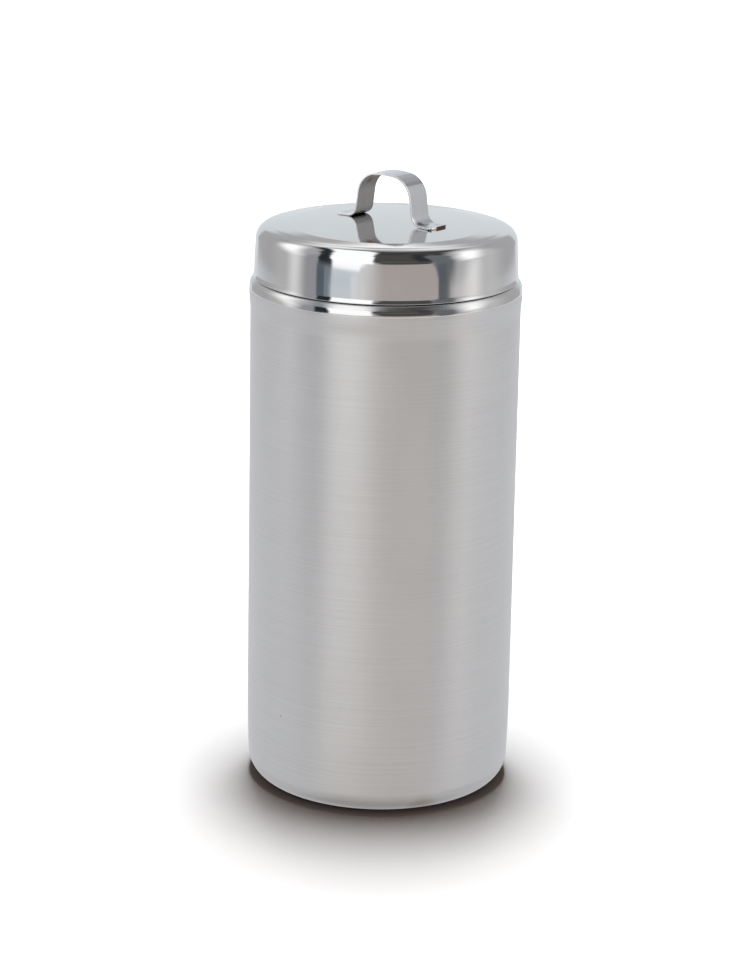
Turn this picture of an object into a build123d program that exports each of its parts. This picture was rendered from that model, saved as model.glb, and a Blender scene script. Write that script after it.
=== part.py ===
from build123d import *
from math import acos, asin, atan2, cos, degrees, radians, sin, sqrt
import os

# Stainless steel sundry jar: a deep-drawn canister with a necked mouth, a drawn slip-over lid
# and a bent strap handle spot-welded to the lid. Millimetres, +Z up, the origin at the centre
# of the base underside, and the arch of the handle along X. Radii are of the outside surface.

# Sheet thicknesses
body_sheet = 0.8
lid_sheet = 0.8
strap_sheet = 0.8

# Base: a raised panel inside a flat foot ring, and the drawn corner outside it
foot_width = 2.4
panel_rise = 1.5
panel_round = 2.5
base_corner = 9.5

# Wall: draws in a little towards the base, and swells into a bulge under the lid. The shoulder
# starts round and tightens into the ledge that the lid sits on.
body_radius = 54.0
draw_angle = 2.3
draw_height = 26.0
bulge_height = 205.2
bulge_step = 0.5
bulge_rise = 9.9
shoulder_round = 6.0
shoulder_ease = 20.0
ledge_round = 3.8

# Lid: a small flare at the rim, a slightly bowed skirt, a tight corner that eases into the top
# over a wider round, and a slightly crowned top
rim_inset = 1.5
rim_break = 0.25
flare_angle = 20.0
flare_height = 2.0
skirt_lean_low = 1.4
skirt_lean_high = 4.0
skirt_height = 13.5
lid_corner = 4.8
edge_slope = 14.3
edge_round = 28.5
crown_round = 550.0
seat_gap = 0.15

# Mouth: a neck inside the lid, with its rim rolled outwards into a bead
neck_round = 2.5
mouth_drop = 0.9
bead_round = 0.9
bead_turn = 255.0
bead_gap = 0.45

# Handle: an arch on two feet, measured on the strap's underside
strap_width = 10.8
foot_length = 9.6
bend_round = 4.6
leg_spacing = 23.5
leg_splay = 2.25
arch_height = 17.75
arch_round = 8.8
apex_rise = 1.5
apex_round = 32.0
toe_round = 1.0
strap_break = 0.15
weld_gap = 0.03
slip_along = 0.5
slip_across = 2.0

# Spot welds: two electrode marks on each foot
weld_spacing = 5.4
weld_radius = 1.4
weld_depth = 0.15

# Radii that follow from these
bulge_radius = body_radius + bulge_step
rim_radius = bulge_radius - rim_inset
ease_length = shoulder_round - ledge_round
ledge_centre = bulge_radius - shoulder_round + ease_length * cos(radians(shoulder_ease))
ledge_height = bulge_height + ease_length * sin(radians(shoulder_ease))


def bent_line(start, heading, bends, inset):
    """Runs and arcs, each tangent to the last, moved to the left by the inset.

    A bend is a radius and a turn in degrees, to the left when positive. A turn of zero makes
    it a straight run of that length.
    """
    direction = Vector(cos(radians(heading)), sin(radians(heading)))
    point = Vector(*start) + Vector(-direction.Y, direction.X) * inset
    edges = []
    for size, turn in bends:
        if turn == 0:
            edge = Line(point, point + direction * size)
        elif turn > 0:
            edge = JernArc(point, direction, size - inset, turn)
        else:
            edge = JernArc(point, direction, size + inset, turn)
        edges.append(edge)
        point = edge @ 1
        direction = edge % 1
    return edges


def turned_sheet(start, heading, bends, sheet):
    """A sheet that follows an outside line, with its thickness to the left, turned about Z."""
    outside = bent_line(start, heading, bends, 0)
    inside = bent_line(start, heading, bends, sheet)
    ends = [Line(outside[0] @ 0, inside[0] @ 0), Line(outside[-1] @ 1, inside[-1] @ 1)]
    section = make_face(outside + inside + ends)
    return revolve(Plane.XZ * section, axis=Axis.Z)


def rim_height():
    """Height of the lid's rim, whose inner edge sits on the ledge's round."""
    inner_edge = rim_radius - lid_sheet * cos(radians(flare_angle))
    across = inner_edge - ledge_centre
    seat = ledge_height + sqrt((ledge_round + seat_gap) ** 2 - across**2)
    return seat + lid_sheet * sin(radians(flare_angle))


def lid_line():
    """Start, heading and bends of the lid's outside, from its rim to the middle of its crown."""
    low = radians(skirt_lean_low)
    high = radians(skirt_lean_high)
    flare = radians(flare_angle)
    flare_round = flare_height / (sin(flare) - sin(low))
    skirt_round = skirt_height / (sin(high) - sin(low))
    skirt_in = flare_round * (cos(low) - cos(flare)) + skirt_round * (cos(low) - cos(high))
    corner_centre = rim_radius - skirt_in - lid_corner * cos(high)
    edge_centre = corner_centre - (edge_round - lid_corner) * sin(radians(edge_slope))
    crown_turn = degrees(asin(edge_centre / (crown_round - edge_round)))
    bends = [
        (flare_round, skirt_lean_low - flare_angle),
        (skirt_round, skirt_lean_high - skirt_lean_low),
        (lid_corner, 90 - skirt_lean_high - edge_slope),
        (edge_round, edge_slope - crown_turn),
        (crown_round, crown_turn),
    ]
    return (rim_radius, rim_height()), 90 + flare_angle, bends


def lid_shell():
    """The lid, with the edges of its rim broken."""
    shell = turned_sheet(*lid_line(), lid_sheet)
    rings = shell.edges().filter_by(GeomType.CIRCLE).group_by(Axis.Z)
    return fillet(rings[0] + rings[1], rim_break)


def jar_body():
    """The canister, drawn from the middle of the base up to the end of the mouth bead."""
    step_turn = degrees(acos(1 - panel_rise / (2 * panel_round)))
    step_run = 2 * panel_round * sin(radians(step_turn))
    draw = radians(draw_angle)
    draw_round = draw_height / sin(draw)
    foot_edge = body_radius - draw_round * (1 - cos(draw)) - base_corner * cos(draw)
    draw_top = base_corner * (1 - sin(draw)) + draw_height
    bulge_turn = 2 * degrees(atan2(bulge_step, bulge_rise))
    bulge_round = bulge_rise / (2 * sin(radians(bulge_turn)))
    skirt_top = bent_line(*lid_line(), lid_sheet)[1] @ 1
    neck_radius = skirt_top.X - bead_gap - body_sheet - 2 * bead_round
    neck_reach = neck_radius + neck_round - ledge_centre
    shoulder_turn = degrees(acos(neck_reach / (ledge_round + neck_round)))
    neck_foot = ledge_height + (ledge_round + neck_round) * sin(radians(shoulder_turn))
    bead_height = skirt_top.Y - mouth_drop - bead_round - body_sheet
    bends = [
        (foot_edge - foot_width - step_run, 0),
        (panel_round, -step_turn),
        (panel_round, step_turn),
        (foot_width, 0),
        (base_corner, 90 - draw_angle),
        (draw_round, draw_angle),
        (bulge_height - bulge_rise - draw_top, 0),
        (bulge_round, -bulge_turn),
        (bulge_round, bulge_turn),
        (shoulder_round, shoulder_ease),
        (ledge_round, shoulder_turn - shoulder_ease),
        (neck_round, -shoulder_turn),
        (bead_height - neck_foot, 0),
        (bead_round, -bead_turn),
    ]
    return turned_sheet((0, panel_rise), 0, bends, body_sheet)


def strap_handle():
    """The strap, bent in the XZ plane over the crown's top point, and slipped along the crown."""
    heel = leg_spacing / 2 + leg_splay
    toe = heel + foot_length
    middle = (toe + heel + bend_round) / 2
    tilt = asin(middle / crown_round)
    rest = weld_gap - crown_round * (1 - cos(tilt))
    toe_point = (toe, rest - (toe - middle) * sin(tilt))
    heel_point = (heel, rest + (middle - heel) * sin(tilt))
    arch_point = (leg_spacing / 2, arch_height - apex_rise / 2)
    half = [toe_point, heel_point, arch_point]
    apex = (0, arch_height + apex_rise / 2)
    other_half = [(-x, z) for x, z in reversed(half)]
    radii = [bend_round, arch_round, apex_round, arch_round, bend_round]
    underside = FilletPolyline(*half, apex, *other_half, radius=radii)
    section = make_face(underside.offset_2d(strap_sheet, side=Side.RIGHT, closed=True))
    strap = extrude(Plane.XZ * section, amount=strap_width / 2, both=True)
    faces = strap.faces().sort_by(Axis.X)
    toe_edges = faces[0].edges() + faces[-1].edges()
    strap = fillet(toe_edges.filter_by(Axis.Y, reverse=True), toe_round)
    sides = strap.faces().filter_by(Axis.Y)
    strap = fillet(sides.edges(), strap_break)
    return strap - weld_marks(middle, rest + strap_sheet)


def weld_marks(middle, foot_top):
    """The electrode marks in the tops of both feet, as shallow caps of a large sphere."""
    mark_round = (weld_radius**2 + weld_depth**2) / (2 * weld_depth)
    cap_edge = 2 * degrees(asin(weld_radius / mark_round)) - 90
    cap = Sphere(mark_round, arc_size2=cap_edge)
    centre = foot_top - weld_depth + mark_round
    places = [(x, y) for x in (-middle, middle) for y in (-weld_spacing / 2, weld_spacing / 2)]
    return [Pos(x, y, centre) * cap for x, y in places]


def slipped_on_crown(strap):
    """Carry the strap from the crown's middle to where it is welded, along the crown."""
    crown_top = bent_line(*lid_line(), 0)[-1] @ 1
    crown_centre = (0, 0, -crown_round)
    strap = strap.rotate(Axis(crown_centre, (0, 1, 0)), degrees(slip_along / crown_round))
    strap = strap.rotate(Axis(crown_centre, (1, 0, 0)), -degrees(slip_across / crown_round))
    return Pos(0, 0, crown_top.Y) * strap


os.makedirs("parts", exist_ok=True)
nodes = {
    "jar_body": jar_body(),
    "lid_shell": lid_shell(),
    "strap_handle": slipped_on_crown(strap_handle()),
}
for name, solid in nodes.items():
    solid.label = name
    export_step(solid, f"parts/{name}.step")
    print(name, round(solid.volume, 1), "cubic mm", solid.bounding_box())
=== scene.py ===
from math import acos, asin, atan2, ceil, cos, degrees, pi, radians, sin, sqrt, tan

import bmesh
import bpy
import numpy as np
from mathutils import Matrix, Vector


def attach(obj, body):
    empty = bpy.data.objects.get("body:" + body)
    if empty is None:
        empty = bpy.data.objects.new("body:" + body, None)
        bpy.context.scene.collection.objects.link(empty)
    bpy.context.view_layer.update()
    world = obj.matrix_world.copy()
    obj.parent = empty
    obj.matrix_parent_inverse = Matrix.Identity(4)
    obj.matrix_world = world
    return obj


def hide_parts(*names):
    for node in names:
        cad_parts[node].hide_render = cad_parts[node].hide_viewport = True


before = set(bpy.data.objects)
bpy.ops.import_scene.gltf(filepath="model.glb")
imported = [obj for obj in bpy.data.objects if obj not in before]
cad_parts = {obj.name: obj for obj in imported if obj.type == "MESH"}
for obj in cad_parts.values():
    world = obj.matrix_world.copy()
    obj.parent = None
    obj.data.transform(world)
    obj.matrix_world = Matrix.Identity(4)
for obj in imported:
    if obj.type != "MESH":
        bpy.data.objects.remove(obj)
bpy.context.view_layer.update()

scene = bpy.context.scene
scene.view_settings.view_transform = "Standard"

# Camera: a long lens in front of the jar and to its right, above the lid, looking down at it.
# The handle's arch runs along X, so the view is turned about Z to see it at its angle.
view_turn = radians(38.2)
camera_distance = 1.19118
camera_height = 0.47344
look_down = 0.2846
look_aside = 0.00248
camera_roll = 0.0183
focal_length_pixels = 3058.13
image_height_pixels = 959
film_size = 36.0


def placed(name, data):
    """A new object in the scene, at the origin."""
    made = bpy.data.objects.new(name, data)
    scene.collection.objects.link(made)
    return made


camera_data = bpy.data.cameras.new("camera")
camera_data.sensor_width = film_size
camera_data.lens = film_size * focal_length_pixels / image_height_pixels
camera_data.clip_start = 0.05
camera_data.clip_end = 50
camera = placed("camera", camera_data)
camera.matrix_world = (
    Matrix.Rotation(view_turn, 4, "Z")
    @ Matrix.Translation((0, -camera_distance, camera_height))
    @ Matrix.Rotation(look_aside, 4, "Z")
    @ Matrix.Rotation(pi / 2 - look_down, 4, "X")
    @ Matrix.Rotation(camera_roll, 4, "Z")
)
scene.camera = camera

# The lid's outside line comes before the jar, because the jar's mouth takes its size from it.
# A deep-drawn lid in 0.8 mm stainless sheet: a flared rim, a bowed skirt, a tight corner that
# eases into the top over a wider round, and a slightly crowned top.
lid_sheet = 0.0008
rim_inset = 0.0015
rim_break = 0.00025
flare_angle = 20.0
flare_height = 0.002
skirt_lean_low = 1.4
skirt_lean_high = 4.0
skirt_height = 0.0135
lid_corner = 0.0048
edge_slope = 14.3
edge_round = 0.0285
crown_round = 0.55
seat_gap = 0.00015
body_radius = 0.054
bulge_height = 0.2052
bulge_step = 0.0005
shoulder_round = 0.006
shoulder_ease = 20.0
ledge_round = 0.0038
bulge_radius = body_radius + bulge_step
rim_radius = bulge_radius - rim_inset
ease_length = shoulder_round - ledge_round
ledge_centre = bulge_radius - shoulder_round + ease_length * cos(radians(shoulder_ease))
ledge_height = bulge_height + ease_length * sin(radians(shoulder_ease))


def rim_height():
    """Height of the lid's rim, whose inner edge sits on the ledge's round."""
    inner_edge = rim_radius - lid_sheet * cos(radians(flare_angle))
    across = inner_edge - ledge_centre
    seat = ledge_height + sqrt((ledge_round + seat_gap) ** 2 - across**2)
    return seat + lid_sheet * sin(radians(flare_angle))


def lid_line():
    """Start, heading and bends of the lid's outside, from its rim to the middle of its crown."""
    low = radians(skirt_lean_low)
    high = radians(skirt_lean_high)
    flare = radians(flare_angle)
    flare_round = flare_height / (sin(flare) - sin(low))
    skirt_round = skirt_height / (sin(high) - sin(low))
    skirt_in = flare_round * (cos(low) - cos(flare)) + skirt_round * (cos(low) - cos(high))
    corner_centre = rim_radius - skirt_in - lid_corner * cos(high)
    edge_centre = corner_centre - (edge_round - lid_corner) * sin(radians(edge_slope))
    crown_turn = degrees(asin(edge_centre / (crown_round - edge_round)))
    bends = [
        (flare_round, skirt_lean_low - flare_angle),
        (skirt_round, skirt_lean_high - skirt_lean_low),
        (lid_corner, 90 - skirt_lean_high - edge_slope),
        (edge_round, edge_slope - crown_turn),
        (crown_round, crown_turn),
    ]
    return (rim_radius, rim_height()), 90 + flare_angle, bends


# Steps along a line: degrees on an arc, more of them on a tight one, and metres elsewhere
arc_step = 2.0
tight_arc_step = 5.0
tight_arc = 0.003
longest_step = 0.004
first_step = 0.0002


def bent_line(start, heading, bends, inset):
    """Points on runs and arcs, each tangent to the last, moved to the left by the inset.

    A bend is a radius and a turn in degrees, to the left when positive. A turn of zero makes
    it a straight run of that length, with a short step at each end.
    """
    angle = radians(heading)
    radius_out = start[0] - sin(angle) * inset
    height = start[1] + cos(angle) * inset
    points = [(radius_out, height)]
    for size, turn in bends:
        if turn == 0:
            count = max(2, ceil((size - 2 * first_step) / longest_step))
            between = (size - 2 * first_step) / count
            reach = [first_step + between * k for k in range(count + 1)] + [size]
            for far in reach:
                points.append((radius_out + cos(angle) * far, height + sin(angle) * far))
        else:
            side = 1 if turn > 0 else -1
            radius = size - inset * side
            centre = (radius_out - sin(angle) * radius * side, height + cos(angle) * radius * side)
            step = tight_arc_step if size < tight_arc else arc_step
            arc_length = radius * abs(radians(turn))
            count = max(2, ceil(abs(turn) / step), ceil(arc_length / longest_step))
            for k in range(1, count + 1):
                there = angle + radians(turn) * k / count
                points.append((
                    centre[0] + sin(there) * radius * side,
                    centre[1] - cos(there) * radius * side,
                ))
            angle += radians(turn)
        radius_out, height = points[-1]
    return points


# The jar body: one canister drawn from a 0.8 mm stainless blank. Its base panel is pushed in
# inside a foot ring, its wall is brushed round and round, and its shoulder is polished, turned
# in to a ledge for the lid, necked, and rolled outwards into a bead round the mouth.
body_sheet = 0.0008
foot_width = 0.0024
panel_rise = 0.0015
panel_round = 0.0025
base_corner = 0.0095
draw_angle = 2.3
draw_height = 0.026
bulge_rise = 0.0099
neck_round = 0.0025
mouth_drop = 0.0009
bead_round = 0.0009
bead_turn = 255.0
bead_gap = 0.00045
turn_segments = 180
merge_distance = 0.000001


def jar_section():
    """The sheet's section, from the axis along the outside to the bead and back inside."""
    step_turn = degrees(acos(1 - panel_rise / (2 * panel_round)))
    step_run = 2 * panel_round * sin(radians(step_turn))
    draw = radians(draw_angle)
    draw_round = draw_height / sin(draw)
    foot_edge = body_radius - draw_round * (1 - cos(draw)) - base_corner * cos(draw)
    draw_top = base_corner * (1 - sin(draw)) + draw_height
    bulge_turn = 2 * degrees(atan2(bulge_step, bulge_rise))
    bulge_round = bulge_rise / (2 * sin(radians(bulge_turn)))
    start, heading, bends = lid_line()
    skirt_top = bent_line(start, heading, bends[:2], lid_sheet)[-1]
    neck_radius = skirt_top[0] - bead_gap - body_sheet - 2 * bead_round
    neck_reach = neck_radius + neck_round - ledge_centre
    shoulder_turn = degrees(acos(neck_reach / (ledge_round + neck_round)))
    neck_foot = ledge_height + (ledge_round + neck_round) * sin(radians(shoulder_turn))
    bead_height = skirt_top[1] - mouth_drop - bead_round - body_sheet
    bends = [
        (foot_edge - foot_width - step_run, 0),
        (panel_round, -step_turn),
        (panel_round, step_turn),
        (foot_width, 0),
        (base_corner, 90 - draw_angle),
        (draw_round, draw_angle),
        (bulge_height - bulge_rise - draw_top, 0),
        (bulge_round, -bulge_turn),
        (bulge_round, bulge_turn),
        (shoulder_round, shoulder_ease),
        (ledge_round, shoulder_turn - shoulder_ease),
        (neck_round, -shoulder_turn),
        (bead_height - neck_foot, 0),
        (bead_round, -bead_turn),
    ]
    outside = bent_line((0, panel_rise), 0, bends, 0)
    inside = bent_line((0, panel_rise), 0, bends, body_sheet)
    return outside + inside[::-1]


def feed(tree, made, inputs):
    """Link or set a node's inputs, each to a socket, number, vector or colour."""
    for key, value in inputs.items():
        socket = made.inputs[key]
        if isinstance(value, bpy.types.NodeSocket):
            tree.links.new(value, socket)
        elif socket.type == "RGBA":
            socket.default_value = (*value, 1)
        else:
            socket.default_value = value


def node(tree, kind, inputs=None, **settings):
    """A new node in a tree, with its settings and then its inputs."""
    made = tree.nodes.new(kind)
    for key, value in settings.items():
        setattr(made, key, value)
    feed(tree, made, inputs or {})
    return made


def combined(tree, operation, first, second):
    """A sum, product or the like of two sockets or numbers."""
    inputs = {0: first, 1: second}
    return node(tree, "ShaderNodeMath", inputs, operation=operation).outputs[0]


def along_axes(tree, point):
    """A point's X, Y and Z, by name."""
    return node(tree, "ShaderNodeSeparateXYZ", {0: point}).outputs


def turned_sheet_tree():
    """Geometry nodes that turn a section about Z: the mesh's points, in order, are the section."""
    tree = bpy.data.node_groups.new("turned_sheet", "GeometryNodeTree")
    for name, kind in (
        ("Section", "NodeSocketGeometry"),
        ("Segments", "NodeSocketInt"),
        ("Merge Distance", "NodeSocketFloat"),
        ("Material", "NodeSocketMaterial"),
    ):
        tree.interface.new_socket(name=name, in_out="INPUT", socket_type=kind)
    tree.interface.new_socket(name="Sheet", in_out="OUTPUT", socket_type="NodeSocketGeometry")
    given = node(tree, "NodeGroupInput").outputs
    section = {"Geometry": given["Section"]}
    size = node(tree, "GeometryNodeAttributeDomainSize", section, component="MESH")
    count = size.outputs["Point Count"]
    columns = combined(tree, "ADD", given["Segments"], 1)
    inputs = {"Size X": 1, "Size Y": 1, "Vertices X": columns, "Vertices Y": count}
    grid = node(tree, "GeometryNodeMeshGrid", inputs)
    # Across the grid is the turn round the axis, and up the grid is the way along the section.
    place = node(tree, "GeometryNodeInputPosition").outputs[0]
    across = combined(tree, "ADD", along_axes(tree, place)["X"], 0.5)
    up = combined(tree, "ADD", along_axes(tree, place)["Y"], 0.5)
    along = combined(tree, "MULTIPLY", up, combined(tree, "SUBTRACT", count, 1))
    whole = node(tree, "FunctionNodeFloatToInt", {0: along}, rounding_mode="ROUND")
    inputs = {**section, "Value": place, "Index": whole.outputs[0]}
    pick = node(
        tree, "GeometryNodeSampleIndex", inputs, data_type="FLOAT_VECTOR", domain="POINT"
    )
    inputs = {"Vector": pick.outputs["Value"], "Angle": combined(tree, "MULTIPLY", across, 2 * pi)}
    turn = node(tree, "ShaderNodeVectorRotate", inputs, rotation_type="Z_AXIS")
    sheet = {"Geometry": grid.outputs["Mesh"]}
    for kind, inputs in (
        ("GeometryNodeSetPosition", {"Position": turn.outputs[0]}),
        ("GeometryNodeMergeByDistance", {"Distance": given["Merge Distance"]}),
        ("GeometryNodeSetShadeSmooth", {}),
        ("GeometryNodeRealizeInstances", {}),
        ("GeometryNodeSetMaterial", {"Material": given["Material"]}),
    ):
        sheet = {"Geometry": node(tree, kind, {**sheet, **inputs}).outputs[0]}
    node(tree, "NodeGroupOutput", {0: sheet["Geometry"]})
    return tree


turned_sheet_nodes = turned_sheet_tree()
sharp_angle = radians(38)


def mark_sharp_edges(mesh):
    """Outward faces, and hard shading only where the sheet has a cut edge."""
    shape = bmesh.new()
    shape.from_mesh(mesh)
    bmesh.ops.recalc_face_normals(shape, faces=shape.faces)
    for edge in shape.edges:
        edge.smooth = edge.calc_face_angle(0) < sharp_angle
    shape.to_mesh(mesh)
    shape.free()


def turned_sheet(name, section, material):
    """A mesh piece turned from a section of (radius, height) points."""
    line = bpy.data.meshes.new(name + "_section")
    line.from_pydata(
        [(radius, 0, height) for radius, height in section],
        [(k, k + 1) for k in range(len(section) - 1)],
        [],
    )
    maker = placed(name + "_section", line)
    nodes = maker.modifiers.new("turned sheet", "NODES")
    nodes.node_group = turned_sheet_nodes
    values = {"Segments": turn_segments, "Merge Distance": merge_distance, "Material": material}
    for socket in turned_sheet_nodes.interface.items_tree:
        if socket.in_out == "INPUT" and socket.name in values:
            nodes[socket.identifier] = values[socket.name]
    evaluated = maker.evaluated_get(bpy.context.evaluated_depsgraph_get())
    mesh = bpy.data.meshes.new_from_object(evaluated)
    mesh.name = name
    maker.modifiers.remove(nodes)
    bpy.data.objects.remove(maker)
    mark_sharp_edges(mesh)
    return placed(name, mesh)


def new_finish(name):
    """A new material and its tree of nodes."""
    material = bpy.data.materials.new(name)
    material.use_nodes = True
    return material, material.node_tree


def object_point(tree):
    """The piece's own coordinates, in metres."""
    return node(tree, "ShaderNodeTexCoord").outputs["Object"]


quarter_turn = 0.25


def steel(name, colour, roughness, brushing=0.0):
    """A metal finish: its material, tree and shader, and the piece's own coordinates.

    Numbers that are the same all over are on the shader's sockets. Brushing goes round the
    jar's axis, so that highlights stretch across it.
    """
    material, tree = new_finish(name)
    shader = tree.nodes["Principled BSDF"]
    feed(tree, shader, {"Base Color": colour, "Metallic": 1, "Roughness": roughness})
    if brushing:
        tangent = node(tree, "ShaderNodeTangent", direction_type="RADIAL", axis="Z")
        feed(tree, shader, {
            "Tangent": tangent.outputs[0],
            "Anisotropic": brushing,
            "Anisotropic Rotation": quarter_turn,
        })
    return material, tree, shader, object_point(tree)


def from_axis(tree, point):
    """A point's distance from the jar's axis."""
    flat = node(tree, "ShaderNodeVectorMath", {0: point, 1: (1, 1, 0)}, operation="MULTIPLY")
    length = node(tree, "ShaderNodeVectorMath", {0: flat.outputs[0]}, operation="LENGTH")
    return length.outputs["Value"]


def in_section(tree, point):
    """A point's place in the sheet's section, where noise makes rings round the axis."""
    place = {"X": from_axis(tree, point), "Y": along_axes(tree, point)["Z"]}
    return node(tree, "ShaderNodeCombineXYZ", place).outputs[0]


def noise(tree, point, per_metre, detail, seed=0.0):
    """Noise with its own number of waves per metre along each axis, from 0 to 1."""
    inputs = {"Vector": point, "Scale": per_metre, "Location": (seed, seed, seed)}
    place = node(tree, "ShaderNodeMapping", inputs).outputs[0]
    inputs = {"Vector": place, "Scale": 1, "Detail": detail}
    return node(tree, "ShaderNodeTexNoise", inputs).outputs["Fac"]


def ranged(tree, value, low, high, to_low=0.0, to_high=1.0, smooth=True):
    """A value's range carried to another range, eased at both ends and held past them."""
    inputs = {
        "Value": value, "From Min": low, "From Max": high, "To Min": to_low, "To Max": to_high
    }
    easing = "SMOOTHSTEP" if smooth else "LINEAR"
    return node(tree, "ShaderNodeMapRange", inputs, interpolation_type=easing).outputs["Result"]


def weighted(tree, first, second, share):
    """A mix of two values: the first one's share, and the rest of the second."""
    rest = combined(tree, "MULTIPLY", second, 1 - share)
    return combined(tree, "ADD", combined(tree, "MULTIPLY", first, share), rest)


def blended(tree, share, first, second):
    """A colour between two, each a colour or a socket."""
    inputs = {"Factor": share, 6: first, 7: second}
    return node(tree, "ShaderNodeMix", inputs, data_type="RGBA").outputs[2]


spot_middle = 0.4


def marked(tree, point, colour, place, reach, mark_colour):
    """A colour with a soft round mark on it, full in its middle and gone at its reach."""
    away = node(tree, "ShaderNodeVectorMath", {0: point, 1: place}, operation="DISTANCE")
    share = ranged(tree, away.outputs["Value"], reach * spot_middle, reach, 1.0, 0.0)
    return blended(tree, share, colour, mark_colour)


def bumped(tree, shader, height, distance, strength=1.0):
    """Fine relief on the surface, in metres."""
    inputs = {"Height": height, "Distance": distance, "Strength": strength}
    feed(tree, shader, {"Normal": node(tree, "ShaderNodeBump", inputs).outputs[0]})


# Marks are a place, a reach and a colour. The wall's finish changes at heights on the shoulder.
noise_range = (0.3, 0.7)
steel_colour = (0.645, 0.64, 0.635)
satin_roughness = 0.33
satin_limits = (0.27, 0.39)
satin_range = (0.6, 1.4)
satin_colours = ((0.60, 0.59, 0.58), (0.68, 0.675, 0.67))
polish_roughness = 0.07
polish_line = 0.205
polish_fade = 0.0004
polish_end = 0.2074
ledge_roughness = 0.24
line_share = 0.6
tint_grain_share = 0.7
brush_depth = 0.000012
wall_marks = [
    ((0.0412, -0.0246, 0.0028), 0.0085, (0.50, 0.455, 0.41)),
    ((-0.03438, -0.04164, 0.06425), 0.0005, (0.36, 0.34, 0.33)),
    ((-0.03599, -0.04026, 0.03875), 0.0005, (0.36, 0.34, 0.33)),
    ((-0.00756, -0.05347, 0.036), 0.0005, (0.36, 0.34, 0.33)),
]


def brushed_wall():
    """Satin brushed round the wall, with the shoulder polished above the bulge."""
    material, tree, shader, point = steel("brushed_wall", steel_colour, satin_roughness, brushing=0.25)
    lines = noise(tree, point, (14, 14, 1900), detail=3.0)
    fine_lines = noise(tree, point, (30, 30, 5200), detail=2.0, seed=3.1)
    clouds = noise(tree, point, (38, 38, 26), detail=3.0, seed=7.7)
    grain = weighted(tree, lines, fine_lines, line_share)
    uneven = combined(tree, "MULTIPLY", lines, polish_fade)
    edge = combined(tree, "ADD", along_axes(tree, point)["Z"], uneven)
    polished = ranged(tree, edge, polish_line, polish_line + polish_fade)
    satin_share = combined(tree, "SUBTRACT", 1.0, polished)
    satin = ranged(tree, combined(tree, "ADD", grain, clouds), *satin_range, *satin_limits)
    polish_stop = polish_end + polish_fade
    polish = ranged(tree, edge, polish_end, polish_stop, polish_roughness, ledge_roughness)
    satin_part = combined(tree, "MULTIPLY", satin, satin_share)
    polish_part = combined(tree, "MULTIPLY", polished, polish)
    rough = combined(tree, "ADD", satin_part, polish_part)
    tint = ranged(tree, weighted(tree, grain, clouds, tint_grain_share), *noise_range)
    satin_colour = blended(tree, tint, *satin_colours)
    colour = blended(tree, polished, satin_colour, steel_colour)
    for mark in wall_marks:
        colour = marked(tree, point, colour, *mark)
    feed(tree, shader, {"Roughness": rough, "Base Color": colour})
    relief = combined(tree, "MULTIPLY", grain, satin_share)
    bumped(tree, shader, relief, brush_depth, strength=0.6)
    return material


drawn_colour = (0.60, 0.595, 0.59)
drawn_colours = ((0.56, 0.55, 0.54), (0.64, 0.635, 0.63))
drawn_roughness = (0.28, 0.42)
stain_range = (0.35, 0.65)
press_ring_depth = 0.00001


def drawn_inside():
    """The inside and the base, left as drawn: duller, with faint rings from the press."""
    material, tree, shader, point = steel("drawn_inside", drawn_colour, roughness=0.34, brushing=0.5)
    rings = noise(tree, in_section(tree, point), (900, 700, 0), detail=3.0, seed=1.3)
    stains = noise(tree, point, (30, 30, 18), detail=3.0, seed=5.2)
    rough = ranged(tree, rings, *noise_range, *drawn_roughness)
    colour = blended(tree, ranged(tree, stains, *stain_range), *drawn_colours)
    feed(tree, shader, {"Roughness": rough, "Base Color": colour})
    bumped(tree, shader, rings, press_ring_depth, strength=0.5)
    return material


jar_body = turned_sheet("jar_body_steel", jar_section(), brushed_wall())
jar_body.data.materials.append(drawn_inside())
facing_down = -0.5
facing_up = 0.7
for face in jar_body.data.polygons:
    is_underneath = face.normal.z < facing_down and face.center.z < base_corner / 3
    is_bottom = face.normal.z > facing_up and face.center.z < base_corner
    if is_underneath or is_bottom or face.normal.xy.dot(face.center.xy) < 0:
        face.material_index = 1
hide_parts("jar_body")
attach(jar_body, "jar")


# The lid: drawn, trimmed with its edge broken, and buffed to a mirror all over its outside.
# Its underside is duller and shows four heat marks from the handle's spot welds.
cut_steps = 4
clear_of_cut = rim_break * 1.05


def rounded_cut(corner, along, across, radius):
    """Points of a quarter round that breaks a cut edge, from the cut to the surface."""
    points = []
    for k in range(cut_steps + 1):
        turn = pi / 2 * k / cut_steps
        points.append((
            corner[0] + radius * ((1 - sin(turn)) * across[0] + (1 - cos(turn)) * along[0]),
            corner[1] + radius * ((1 - sin(turn)) * across[1] + (1 - cos(turn)) * along[1]),
        ))
    return points


def past_cut(line):
    """The points of a line that are clear of the rounded cut at its start."""
    cut = Vector(line[0])
    return [place for place in line if (Vector(place) - cut).length > clear_of_cut]


def lid_section():
    """The sheet's section, from the crown's middle along the outside to the rim and back."""
    start, heading, bends = lid_line()
    outside = bent_line(start, heading, bends, 0)
    inside = bent_line(start, heading, bends, lid_sheet)
    upward = Vector((cos(radians(heading)), sin(radians(heading))))
    inward = Vector((-upward.y, upward.x))
    outer_cut = rounded_cut(outside[0], upward, inward, rim_break)
    inner_cut = rounded_cut(inside[0], upward, -inward, rim_break)
    return past_cut(outside)[::-1] + outer_cut[::-1] + inner_cut + past_cut(inside)


# The top's margin, between two distances from the axis, slopes a little more than the crown.
margin_start = 0.0388
margin_end = 0.0462
margin_drop = 0.00052
swell_height = 0.00003
ring_share = 0.4
haze_range = (0.35, 0.7)
buffed_roughness = (0.045, 0.085)
buffed_colours = ((0.64, 0.637, 0.635), (0.66, 0.657, 0.655))


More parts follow.
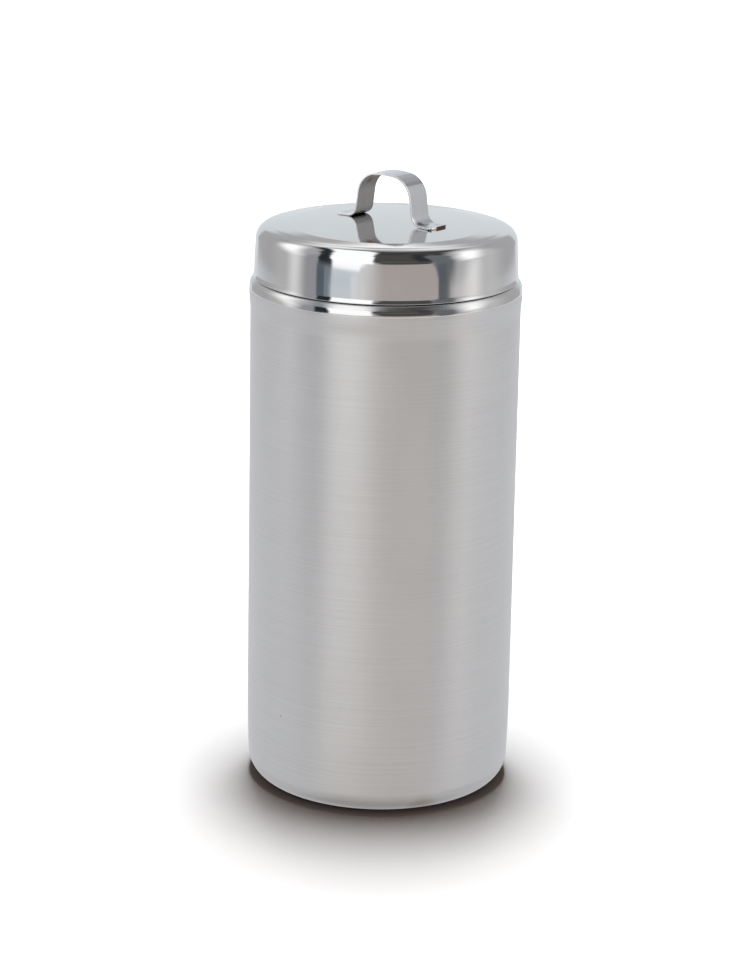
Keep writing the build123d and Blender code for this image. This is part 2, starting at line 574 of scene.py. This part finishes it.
def mirror_lid():
    """Buffed steel: a soft mirror with faint buffing rings, a slight waviness and the margin."""
    material, tree, shader, point = steel("buffed_lid", steel_colour, polish_roughness, brushing=0.3)
    rings = noise(tree, in_section(tree, point), (1500, 1500, 0), detail=2.0, seed=2.2)
    smears = noise(tree, point, (55, 55, 55), detail=3.0, seed=4.4)
    swell = noise(tree, point, (26, 26, 26), detail=1.0, seed=9.1)
    haze = weighted(tree, rings, smears, ring_share)
    rough = ranged(tree, haze, *haze_range, *buffed_roughness)
    colour = blended(tree, ranged(tree, smears, *noise_range), *buffed_colours)
    feed(tree, shader, {"Roughness": rough, "Base Color": colour})
    out = from_axis(tree, point)
    margin = ranged(tree, out, margin_start, margin_end, 0.0, -margin_drop, smooth=False)
    wavy = combined(tree, "MULTIPLY", swell, swell_height)
    bumped(tree, shader, combined(tree, "ADD", wavy, margin), distance=1.0)
    return material


# The welds: two on each foot of the handle, which is slipped a little along and across the crown
weld_out = 0.0211
weld_spacing = 0.0054
weld_level = 0.2305
slip_along = 0.0005
slip_across = 0.002
straw_reach = 0.0042
straw_colour = (0.44, 0.33, 0.22)
blue_reach = 0.0021
blue_colour = (0.30, 0.31, 0.36)
underside_roughness = (0.24, 0.36)
underside_colours = ((0.57, 0.565, 0.56), (0.63, 0.625, 0.62))


def lid_underside():
    """The lid's inside as drawn, with the heat colour of the spot welds."""
    material, tree, shader, point = steel("lid_underside", drawn_colour, roughness=0.3, brushing=0.4)
    clouds = noise(tree, point, (60, 60, 60), detail=3.0, seed=1.9)
    rough = ranged(tree, clouds, *noise_range, *underside_roughness)
    colour = blended(tree, ranged(tree, clouds, *noise_range), *underside_colours)
    for side in (-weld_out, weld_out):
        for off in (-weld_spacing / 2, weld_spacing / 2):
            weld = (side + slip_along, off + slip_across, weld_level)
            colour = marked(tree, point, colour, weld, straw_reach, straw_colour)
            colour = marked(tree, point, colour, weld, blue_reach, blue_colour)
    feed(tree, shader, {"Roughness": rough, "Base Color": colour})
    return material


lid_shell = turned_sheet("lid_steel", lid_section(), mirror_lid())
lid_shell.data.materials.append(lid_underside())
facing_axis = -0.2
facing_underneath = -0.6
above_flare = rim_height() + flare_height
for face in lid_shell.data.polygons:
    faces_in = face.normal.xy.dot(face.center.xy) < facing_axis * face.center.xy.length
    if faces_in or face.normal.z < facing_underneath and face.center.z > above_flare:
        face.material_index = 1
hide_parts("lid_shell")
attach(lid_shell, "lid")


# The handle: a strap of 0.8 mm stainless, about 11 mm wide, sheared to length, bent over a
# former into an arch on two feet, and spot welded to the crown, a little off its middle.
strap_sheet = 0.0008
strap_width = 0.0108
foot_length = 0.0096
bend_round = 0.0046
leg_spacing = 0.0235
leg_splay = 0.00225
arch_height = 0.01775
arch_round = 0.0088
apex_rise = 0.0015
apex_round = 0.032
toe_round = 0.001
strap_break = 0.00015
weld_gap = 0.00003
weld_radius = 0.0014
weld_depth = 0.00015
strap_step = 0.00035
bend_steps = 6
edge_steps = 3
end_break = 0.0001
heel = leg_spacing / 2 + leg_splay
toe = heel + foot_length
foot_middle = (toe + heel + bend_round) / 2
crown_top = bent_line(*lid_line(), 0)[-1][1]


def filleted_line(points, radii, step):
    """Points and headings along a line with rounded corners, at about one step apart."""
    corners = [Vector(p) for p in points]
    places = []

    def run(start, end):
        count = max(1, round((end - start).length / step))
        heading = (end - start).normalized()
        for k in range(count):
            places.append((start.lerp(end, k / count), heading))

    here = corners[0]
    for before, corner, after, radius in zip(corners, corners[1:], corners[2:], radii):
        into = (corner - before).normalized()
        out = (after - corner).normalized()
        turn = atan2(into.x * out.y - into.y * out.x, into.dot(out))
        reach = radius * abs(tan(turn / 2))
        run(here, corner - into * reach)
        side = 1 if turn > 0 else -1
        start = corner - into * reach
        centre = start + Vector((-into.y, into.x)) * radius * side
        count = max(bend_steps, round(radius * abs(turn) / step))
        for k in range(count):
            heading = Matrix.Rotation(turn * k / count, 2) @ into
            places.append((centre - Vector((-heading.y, heading.x)) * radius * side, heading))
        here = corner + out * reach
    run(here, corners[-1])
    places.append((corners[-1], (corners[-1] - here).normalized()))
    return places


def strap_path():
    """The strap's underside, from the toe at +X over the arch to the toe at -X."""
    tilt = asin(foot_middle / crown_round)
    rest = weld_gap - crown_round * (1 - cos(tilt))
    toe_point = (toe, rest - (toe - foot_middle) * sin(tilt))
    heel_point = (heel, rest + (foot_middle - heel) * sin(tilt))
    arch_point = (leg_spacing / 2, arch_height - apex_rise / 2)
    half = [toe_point, heel_point, arch_point]
    apex = (0, arch_height + apex_rise / 2)
    other_half = [(-x, z) for x, z in reversed(half)]
    radii = [bend_round, arch_round, apex_round, arch_round, bend_round]
    return filleted_line([*half, apex, *other_half], radii, strap_step)


def strap_loop(half_width):
    """A section of the strap with broken edges, as (across, up) points round it."""
    count = round((strap_width / 2 - strap_break) * 2 / strap_step)
    flat = half_width - strap_break
    half = [(-flat + 2 * flat * k / count, strap_sheet) for k in range(count + 1)]
    for k in range(1, edge_steps + 1):
        turn = pi / 2 * k / edge_steps
        up = strap_sheet - strap_break + strap_break * cos(turn)
        half.append((flat + strap_break * sin(turn), up))
    for k in range(edge_steps):
        turn = pi / 2 * k / edge_steps
        half.append((flat + strap_break * cos(turn), strap_break - strap_break * sin(turn)))
    return half + [(-across, strap_sheet - up) for across, up in half]


def weld_dimple(along, across):
    """How far an electrode mark presses the foot's top down at a place on the strap."""
    deepest = 0.0
    for place in (-weld_spacing / 2, weld_spacing / 2):
        far = sqrt((abs(along) - foot_middle) ** 2 + (across - place) ** 2) / weld_radius
        if far < 1:
            deepest = max(deepest, weld_depth * (1 - far**2))
    return deepest


def strap_mesh():
    """The bent strap as a closed mesh, with a ring of points at each place along it."""
    mesh = bpy.data.meshes.new("strap_steel")
    shape = bmesh.new()
    whole = strap_loop(strap_width / 2)
    underneath = [here[1] == 0 == beside[1] for here, beside in zip(whole, whole[1:] + whole[:1])]
    path = strap_path()
    lengths = [0.0]
    for (before, _), (after, _) in zip(path, path[1:]):
        lengths.append(lengths[-1] + (after - before).length)
    # Both ends have one more ring, drawn in on the cut face, so that its edge is broken.
    places = [(*path[0], 0.0, end_break)]
    places += [(*place, length, 0.0) for place, length in zip(path, lengths)]
    places.append((*path[-1], lengths[-1], end_break))
    rings = []
    for place, heading, length, inset in places:
        from_end = min(length, lengths[-1] - length)
        narrowed = 0.0
        if from_end < toe_round:
            narrowed = toe_round - sqrt(toe_round**2 - (toe_round - from_end) ** 2)
        up = Vector((heading.y, -heading.x))
        ring = []
        for across, height in strap_loop(strap_width / 2 - narrowed - inset):
            if height == strap_sheet and place.y < bend_round / 4:
                height -= weld_dimple(place.x, across)
            if inset:
                height = inset + height * (1 - 2 * inset / strap_sheet)
            there = place + up * height
            if not inset and from_end == 0:
                there += heading * end_break * (1 if length == 0 else -1)
            ring.append(shape.verts.new((there.x, across, there.y)))
        rings.append(ring)
    for before, after in zip(rings, rings[1:]):
        for k, corner in enumerate(before):
            following = (k + 1) % len(before)
            face = shape.faces.new((corner, before[following], after[following], after[k]))
            face.material_index = underneath[k]
    shape.faces.new(rings[0])
    shape.faces.new(rings[-1])
    centre = Vector((0, 0, -crown_round))
    slip = (
        Matrix.Translation((0, 0, crown_top))
        @ Matrix.Translation(centre)
        @ Matrix.Rotation(-slip_across / crown_round, 4, "X")
        @ Matrix.Rotation(slip_along / crown_round, 4, "Y")
        @ Matrix.Translation(-centre)
    )
    bmesh.ops.transform(shape, matrix=slip, verts=shape.verts)
    shape.to_mesh(mesh)
    shape.free()
    for face in mesh.polygons:
        face.use_smooth = True
    mark_sharp_edges(mesh)
    return mesh


# Painted light and shade on the strap's outside: bands that start and are full at places along
# one axis, and round marks
strap_lines = (90, 2600, 90)
line_depth = 0.000006
strap_colour = (0.6, 0.61, 0.64)
strap_colours = ((0.585, 0.595, 0.625), (0.615, 0.625, 0.655))
strap_roughness = (0.13, 0.22)
# A painted dark reflection: a band across the +X leg at the arch's upper bend
bend_reflection_bottom = (0.2472, 0.2476)
bend_reflection_top = (0.2478, 0.2494)
bend_reflection_side = (0.0, 0.001)
bend_reflection_colour = (0.40, 0.40, 0.42)
# A painted highlight along the near cut edge
near_edge_highlight = (-0.0032, -0.0028)
near_edge_highlight_colour = (0.97, 0.97, 0.98)
# A painted highlight on the toe's end face
toe_band = (0.0232, 0.0238)
toe_highlight_colour = (0.95, 0.82, 0.78)
# Painted shade in the gap under the far half of the toe's end
toe_shade_side = (0.0, 0.0012)
toe_shade_colour = (0.10, 0.045, 0.03)
# A painted dark reflection on the foot near the heel
foot_dark_reflection = ((0.0172, -0.0008, 0.2322), 0.0024, (0.16, 0.16, 0.17))
heel_glint = ((0.0150, -0.0034, 0.2338), 0.0024, (0.98, 0.98, 0.99))
# The painted shade of a burr at the toe's near corner
toe_burr_shade = ((0.0235, -0.0033, 0.2316), 0.0009, (0.05, 0.05, 0.06))


def strap_outside():
    """The strap's rolled face, drawn lengthwise, with painted highlights, painted dark reflections and
    painted shade.
    """
    material, tree, shader, point = steel("strap_steel", strap_colour, roughness=0.18)
    at = along_axes(tree, point)
    lines = noise(tree, point, strap_lines, detail=2.0, seed=1.1)
    rough = ranged(tree, lines, *noise_range, *strap_roughness)
    bumped(tree, shader, lines, line_depth, strength=0.5)
    colour = blended(tree, ranged(tree, lines, *noise_range), *strap_colours)
    # A painted dark reflection in a band across the upper bend
    bottom = ranged(tree, at["Z"], *bend_reflection_bottom)
    top = ranged(tree, at["Z"], *bend_reflection_top, 1.0, 0.0)
    bend_reflection = combined(tree, "MULTIPLY", bottom, top)
    bend_reflection = combined(tree, "MULTIPLY", bend_reflection, ranged(tree, at["X"], *bend_reflection_side))
    colour = blended(tree, bend_reflection, colour, bend_reflection_colour)
    # A painted highlight on the near cut edge
    edge_highlight = ranged(tree, at["Y"], *near_edge_highlight, 1.0, 0.0)
    colour = blended(tree, edge_highlight, colour, near_edge_highlight_colour)
    # A painted dark reflection on the foot, then the heel's painted glint
    colour = marked(tree, point, colour, *foot_dark_reflection)
    colour = marked(tree, point, colour, *heel_glint)
    # A painted highlight on the toe's end
    toe_end = ranged(tree, at["X"], *toe_band)
    colour = blended(tree, toe_end, colour, toe_highlight_colour)
    # Painted shade on the far half of the toe's end
    toe_shade = combined(tree, "MULTIPLY", toe_end, ranged(tree, at["Y"], *toe_shade_side))
    colour = blended(tree, toe_shade, colour, toe_shade_colour)
    # The painted shade of a burr at the toe's near corner
    colour = marked(tree, point, colour, *toe_burr_shade)
    feed(tree, shader, {"Roughness": rough, "Base Color": colour})
    return material


# The inside is the same steel painted darker: painted shade
shaded_inner_colour = (0.42, 0.41, 0.405)
shaded_inner_colours = ((0.39, 0.38, 0.375), (0.45, 0.44, 0.435))
inner_roughness = (0.16, 0.26)
# A brown spot inside the arch, at the -X leg's upper bend
brown_spot = ((-0.0100, 0.0016, 0.2468), 0.0024, (0.31, 0.21, 0.17))


def strap_inside():
    """The face inside the bends: duller, painted darker as shade, a little brown, with a brown spot.
    """
    material, tree, shader, point = steel("strap_inside", shaded_inner_colour, roughness=0.24)
    lines = noise(tree, point, strap_lines, detail=2.0, seed=6.1)
    rough = ranged(tree, lines, *noise_range, *inner_roughness)
    bumped(tree, shader, lines, line_depth, strength=0.5)
    colour = blended(tree, ranged(tree, lines, *noise_range), *shaded_inner_colours)
    colour = marked(tree, point, colour, *brown_spot)
    feed(tree, shader, {"Roughness": rough, "Base Color": colour})
    return material


strap = placed("strap_steel", strap_mesh())
strap.data.materials.append(strap_outside())
strap.data.materials.append(strap_inside())
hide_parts("strap_handle")
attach(strap, "lid")


# The studio's tent: pale cloth all round that shows only in the metal, and not to the camera.
# Directions are seen from the lid, with the camera's side at azimuth 0, its right hand
# positive, and elevations up from the horizon.
tent_centre = Vector((0, 0, 0.222))
tent_radius = 8.0
tent_columns = 288
low_rings = [-90, -80, -70, -60, -50, -40, -34, -28, -24, -21, -18, -16, -14, -13]
horizon_low = -12
horizon_high = 6
horizon_step = 0.25
plan_lowest = -86
outline_step = 4


def direction(azimuth, elevation):
    """A unit vector for an azimuth and elevation in degrees, seen from the jar."""
    side = radians(azimuth)
    rise = radians(elevation)
    seen = Vector((sin(side) * cos(rise), -cos(side) * cos(rise), sin(rise)))
    return Matrix.Rotation(view_turn, 3, "Z") @ seen


def eased(value, start, end):
    """A share that eases from 0 at the start to 1 at the end, and is held past them."""
    share = np.clip((value - start) / (end - start), 0, 1)
    return share * share * (3 - 2 * share)


def on_plan(azimuth, elevation):
    """The tent drawn flat, with its top at the middle: shapes and angles stay true."""
    out = np.tan(np.radians(90 - np.clip(elevation, plan_lowest, 90)) / 2)
    return np.stack([out * np.sin(np.radians(azimuth)), -out * np.cos(np.radians(azimuth))], -1)


class Tent:
    """Points all over the tent's cloth, and the light that each gives."""

    def __init__(self):
        fine_rings = np.arange(horizon_low, horizon_high, horizon_step)
        rings = low_rings + list(fine_rings) + list(range(horizon_high, 91))
        columns = np.arange(tent_columns) * 360 / tent_columns - 180
        grid = np.meshgrid(columns, rings)
        self.rings = len(rings)
        self.azimuth = grid[0].ravel()
        self.elevation = grid[1].ravel()
        self.plan = on_plan(self.azimuth, self.elevation)
        self.degree = np.radians(1) * (1 + (self.plan**2).sum(1)) / 2
        self.light = np.zeros((len(self.azimuth), 3))

    def blend(self, share, light):
        """Carry the cloth's light towards another by a share at each point."""
        self.light += (np.asarray(light) - self.light) * share[:, None]

    def nearest(self, start, end):
        """Distance in degrees from each point to a run on the plan, and how far along it is."""
        run = end - start
        along = np.clip(((self.plan - start) @ run) / (run @ run), 0, 1)
        away = self.plan - start - along[:, None] * run
        return np.sqrt((away**2).sum(1)) / self.degree, along

    def cover(self, corners, softness):
        """The share of a panel at each point, its edge faded over the softness in degrees."""
        sides = []
        for (az, el), (next_az, next_el) in zip(corners, corners[1:] + corners[:1]):
            count = max(1, ceil(max(abs(next_az - az), abs(next_el - el)) / outline_step))
            share = np.arange(count) / count
            sides.append(on_plan(az + (next_az - az) * share, el + (next_el - el) * share))
        outline = np.concatenate(sides)
        gap = np.full(len(self.plan), np.inf)
        inside = np.zeros(len(self.plan), bool)
        for start, end in zip(outline, np.roll(outline, -1, 0)):
            gap = np.minimum(gap, self.nearest(start, end)[0])
            spans = (start[1] > self.plan[:, 1]) != (end[1] > self.plan[:, 1])
            rise = end[1] - start[1] or 1
            cross = start[0] + (self.plan[:, 1] - start[1]) * (end[0] - start[0]) / rise
            inside ^= spans & (self.plan[:, 0] < cross)
        return eased(np.where(inside, gap, -gap), -softness / 2, softness / 2)

    def cloth(self, corners, softness, light):
        """A panel of one light, given by the directions of its corners."""
        self.blend(self.cover(corners, softness), light)

    def glow(self, path):
        """White light on the cloth, along directions that each have a reach and a strength."""
        best = np.zeros(len(self.plan))
        strength = np.zeros(len(self.plan))
        for (az, el, reach, power), (next_az, next_el, next_reach, next_power) in zip(path, path[1:]):
            away, along = self.nearest(on_plan(az, el), on_plan(next_az, next_el))
            share = eased(away, reach + (next_reach - reach) * along, 0)
            closer = share > best
            best = np.where(closer, share, best)
            strength = np.where(closer, power + (next_power - power) * along, strength)
        self.blend(best, strength[:, None])


# The tent's cloth, darker overhead, with a pale panel on the far side
tent = Tent()
side_cloth = (0.52, 0.52, 0.535)
tent.blend(np.ones(len(tent.azimuth)), side_cloth)
tent.blend(eased(tent.elevation, 30, 54), (0.07, 0.067, 0.066))
tent.cloth([
    (150, -40), (152, 8), (158, 14), (168, 17.5), (175, 21), (180, 24.5), (185, 21), (192, 17.5),
    (202, 14), (208, 8), (210, -40),
], softness=5, light=(0.81, 0.855, 0.89))

# The left and right sides, each with a darker fold in front of it
tent.cloth([
    (-62, -30), (-62, 22), (-74, 46), (-105, 60), (-130, 60), (-150, 50), (-150, -30),
], softness=5, light=side_cloth)
tent.cloth([
    (-58, -30), (-58, 22), (-68, 40), (-74, 22), (-75, -30),
], softness=8, light=(0.40, 0.40, 0.43))
tent.cloth([
    (60, -30), (60, 30), (76, 56), (100, 62), (130, 62), (150, 50), (150, -30),
], softness=9, light=side_cloth)
tent.cloth([
    (40, -30), (40, 56), (62, 68), (80, 68), (72, 44), (62, 30), (60, -30),
], softness=8, light=(0.19, 0.20, 0.21))

# Light that falls on both sides, first low and wide, then in an arc that climbs to the back
tent.glow([(-100, -20, 24, 0.58), (-100, 15, 24, 0.66), (-115, 34, 18, 0.8)])
tent.glow([(98, -20, 30, 0.66), (98, 20, 30, 0.74), (110, 40, 18, 0.8)])
tent.glow([
    (-86, -25, 11, 0.86), (-86, -8, 12, 0.94), (-86, 2, 14, 1.05), (-87, 10, 16, 1.2),
    (-91, 17, 17, 1.25), (-96, 24, 17, 1.45), (-103, 31, 17, 1.6), (-113, 38, 16, 1.75),
    (-125, 43, 14, 1.7), (-137, 46, 12, 1.2), (-152, 44, 9, 0.7), (-162, 39, 7, 0.6),
    (-171, 34, 6, 1.0), (-180, 31, 6, 1.5), (-189, 34, 6, 0.9), (-200, 39, 7, 0.6),
    (-212, 46, 9, 0.6),
])
tent.glow([
    (80, -25, 15, 1.0), (80, -8, 16, 1.06), (79, -4, 15, 0.84), (78, 2, 16, 1.1), (78, 6, 18, 1.4),
    (80, 20, 20, 1.6), (85, 33, 18, 1.7), (96, 42, 15, 1.7), (108, 48, 14, 1.6),
    (122, 51, 12, 1.2), (136, 50, 11, 0.8),
])

# The dark slit outside the bright panel, and the dark cloth in front, on the right and overhead
tent.cloth([
    (-60.5, -5.6), (-60.5, 4), (-62, 14), (-64, 28), (-68, 36), (-73, 45), (-79.5, 50), (-88, 55),
    (-105, 60), (-130, 61), (-147, 55), (-160, 48), (-168, 42), (-172, 46), (-150, 66), (-120, 70),
    (-90, 67), (-60, 50), (-45, 20), (-45, -5.6),
], softness=1.8, light=(0.026, 0.034, 0.043))
tent.cloth([
    (-12, -3), (38, -3), (41, 10), (43, 56), (60, 66), (100, 68), (150, 70), (150, 78), (90, 84),
    (0, 88), (-40, 84), (-20, 60), (-12, 30),
], softness=5, light=(0.096, 0.09, 0.088))
tent.cloth([(-4, 17), (27, 17), (27, 22), (-4, 22)], softness=5, light=(0.17, 0.165, 0.16))
tent.cloth([
    (28, 24), (40, 20), (43, 45), (48, 58), (62, 66), (80, 71), (130, 73), (130, 77), (80, 79),
    (55, 74), (36, 64), (29, 50),
], softness=5, light=(0.040, 0.045, 0.050))
tent.glow([(-11, -4, 11, 0.62), (-11, 4, 9, 0.55), (-11, 14, 5, 0.4)])

# The bright panel: low on the left it is a tall strip, and from there it spreads overhead
tent.cloth([
    (-47.2, -9), (-47.2, 8), (-50.5, 20), (-55, 35), (-60, 44.5), (-66, 53), (-75, 57.5), (-85, 62),
    (-100, 65.7), (-120, 66), (-130, 65.5), (-140, 62.5), (-150, 59), (-160, 53), (-168, 43),
    (-176, 46), (-174, 66), (-170, 72.5), (-160, 79.5), (-140, 83), (-100, 85.7), (-60, 83),
    (-45, 82), (-30, 78.5), (-15, 60), (-12.5, 40), (-12, 20), (-11, 8), (-10.5, -9),
], softness=2.0, light=(1.52, 1.53, 1.55))

# Its lower edge, in three bands, and the dark strips on both sides
for corners, softness, light in (
    ([(-47.5, -5.6), (-10, -5.6), (-10, -16), (-47.5, -16)], 0.4, (0.46, 0.54, 0.60)),
    ([(-47.2, -6.25), (-10, -6.25), (-10, -16), (-47.2, -16)], 0.4, (0.86, 0.93, 0.97)),
    ([(-47.2, -6.7), (-30, -6.7), (-30, -16), (-47.2, -16)], 1.2, (0.63, 0.745, 0.83)),
    ([(-62, -5.4), (-54, -5.4), (-54, -20), (-62, -20)], 2, (0.125, 0.155, 0.185)),
    ([(-54, -5.8), (-48, -5.8), (-48, -20), (-54, -20)], 1.5, (0.22, 0.28, 0.34)),
    ([(45, -4), (53, -4), (53, -20), (45, -20)], 4, (0.14, 0.155, 0.175)),
):
    tent.cloth(corners, softness, light)

# A pale panel in front, just below the horizon, that turns warmer to the right
front_panel = tent.cover([
    (-25, -7), (-22, -4.6), (-15, -3.1), (33, -3.1), (38, -3.9), (42.5, -5.2), (45.5, -7.5),
    (46, -13), (-25, -13),
], softness=1.0)
tent.blend(front_panel, (0.82, 0.81, 0.82))
tent.blend(front_panel * eased(tent.azimuth, -20, 0), (0.545, 0.495, 0.475))

# The low cloth all round, warmer in front, with brighter patches, a thin shade on the left, and
# duller towards the jar's foot
low_edge = -9.6
low_cloth = eased(tent.elevation, low_edge, -12.1)
in_front = eased(np.abs(tent.azimuth), 75, 25)
tent.blend(low_cloth, (0.80, 0.815, 0.85))
tent.blend(low_cloth * in_front, (0.93, 0.90, 0.88))
for left, right, light in ((-48, -20, (0.99, 0.975, 0.965)), (58, 80, (1.0, 0.965, 0.955))):
    patch = [(left, low_edge), (right, low_edge), (right, -34), (left, -34)]
    tent.cloth(patch, softness=9, light=light)
shade = eased(tent.azimuth, -57, -62) * eased(tent.azimuth, -66, -61) * 0.15
tent.blend(low_cloth * shade, (0.2, 0.2, 0.21))
near_cloth = eased(tent.elevation, -18, -32)
tent.blend(near_cloth, (0.66, 0.67, 0.70))
tent.blend(near_cloth * in_front, (0.62, 0.59, 0.57))
tent.blend(eased(tent.elevation, -46, -72), (0.44, 0.42, 0.41))

tent_mesh = bpy.data.meshes.new("tent_cloth")
tent_points = [
    tent_centre + direction(az, el) * tent_radius for az, el in zip(tent.azimuth, tent.elevation)
]
tent_faces = []
for ring in range(tent.rings - 1):
    for k in range(tent_columns):
        here = ring * tent_columns + k
        beside = ring * tent_columns + (k + 1) % tent_columns
        tent_faces.append((here, beside, beside + tent_columns, here + tent_columns))
tent_mesh.from_pydata(tent_points, [], tent_faces)
tent_light = tent_mesh.color_attributes.new("light", "FLOAT_COLOR", "POINT")
opaque = np.ones((len(tent.light), 1))
tent_light.data.foreach_set("color", np.hstack([tent.light, opaque]).ravel())
tent_material, tent_tree = new_finish("tent_cloth")
tent_tree.nodes.remove(tent_tree.nodes["Principled BSDF"])
# Light that the floor has scattered finds the tent dark, so only the metal sees it.
diffuse_depth = node(tent_tree, "ShaderNodeLightPath").outputs["Diffuse Depth"]
tent_colour = node(tent_tree, "ShaderNodeAttribute", attribute_name="light")
tent_glow = node(tent_tree, "ShaderNodeEmission", {
    "Color": tent_colour.outputs["Color"],
    "Strength": combined(tent_tree, "LESS_THAN", diffuse_depth, 0.5),
})
feed(tent_tree, tent_tree.nodes["Material Output"], {"Surface": tent_glow.outputs[0]})
tent_mesh.materials.append(tent_material)
tent_piece = placed("tent_cloth", tent_mesh)
for ray in ("camera", "diffuse", "transmission", "volume_scatter", "shadow"):
    setattr(tent_piece, "visible_" + ray, False)

# The floor: a plain white sheet that the metal doesn't see. To the camera it glows by itself,
# least at the jar's foot, a painted shade round it that keeps the shadow, and ends in plain white.
floor_colour = (0.9, 0.9, 0.9)
contact_lift = 0.004
shadow_lift = 0.18
contact_reach = 0.056
shadow_reach = 0.105
background_reach = 0.5
floor_size = 6.0
floor_mesh = bpy.data.meshes.new("floor")
floor_corners = [(-1, -1), (1, -1), (1, 1), (-1, 1)]
floor_points = [(x * floor_size, y * floor_size, 0) for x, y in floor_corners]
floor_mesh.from_pydata(floor_points, [], [(0, 1, 2, 3)])
floor_material, floor_tree = new_finish("floor")
floor_out = from_axis(floor_tree, object_point(floor_tree))
# Least glow near the foot: painted shade round the jar, rising to plain white further out
near_lift = ranged(
    floor_tree, floor_out, contact_reach, shadow_reach, contact_lift, shadow_lift, smooth=False
)
far_lift = ranged(floor_tree, floor_out, shadow_reach, background_reach, 0.0, 1.0 - shadow_lift)
floor_lift = combined(floor_tree, "ADD", near_lift, far_lift)
floor_seen = node(floor_tree, "ShaderNodeLightPath").outputs["Is Camera Ray"]
feed(floor_tree, floor_tree.nodes["Principled BSDF"], {
    "Base Color": floor_colour,
    "Roughness": 1,
    "Specular IOR Level": 0,
    "Emission Color": (1, 1, 1),
    "Emission Strength": combined(floor_tree, "MULTIPLY", floor_seen, floor_lift),
})
floor_mesh.materials.append(floor_material)
floor = placed("floor", floor_mesh)
floor.visible_glossy = False

# The lamp: one soft panel overhead, a little behind the jar, so that its shadow falls in
# front. It gives the floor its light, and neither the camera nor the metal sees it.
lamp_azimuth = 180
lamp_elevation = 82.5
lamp_distance = 1.5
lamp_data = bpy.data.lights.new("overhead_lamp", "AREA")
lamp_data.shape = "RECTANGLE"
lamp_data.size = 0.28
lamp_data.size_y = 0.53
lamp_data.energy = 22.0
lamp_data.color = (0.985, 1.0, 1.01)
lamp = placed("overhead_lamp", lamp_data)
lamp_place = direction(lamp_azimuth, lamp_elevation) * lamp_distance
lamp_aim = lamp_place.to_track_quat("Z", "Y").to_matrix().to_4x4()
lamp.matrix_world = Matrix.Translation(lamp_place) @ lamp_aim
lamp.visible_glossy = False
lamp.visible_camera = False

# The world: a faint warm light from all round that the metal doesn't see, and plain white
# where the camera looks past the floor.
ambient_colour = (1.0, 0.77, 0.67)
ambient_strength = 0.13
world = bpy.data.worlds.new("studio")
world.use_nodes = True
scene.world = world
world_tree = world.node_tree
ambient = world_tree.nodes["Background"]
feed(world_tree, ambient, {"Color": ambient_colour, "Strength": ambient_strength})
white = node(world_tree, "ShaderNodeBackground", {"Color": (1, 1, 1)})
past_floor = node(world_tree, "ShaderNodeLightPath").outputs["Is Camera Ray"]
inputs = {0: past_floor, 1: ambient.outputs[0], 2: white.outputs[0]}
choice = node(world_tree, "ShaderNodeMixShader", inputs)
feed(world_tree, world_tree.nodes["World Output"], {"Surface": choice.outputs[0]})
world.cycles_visibility.glossy = False
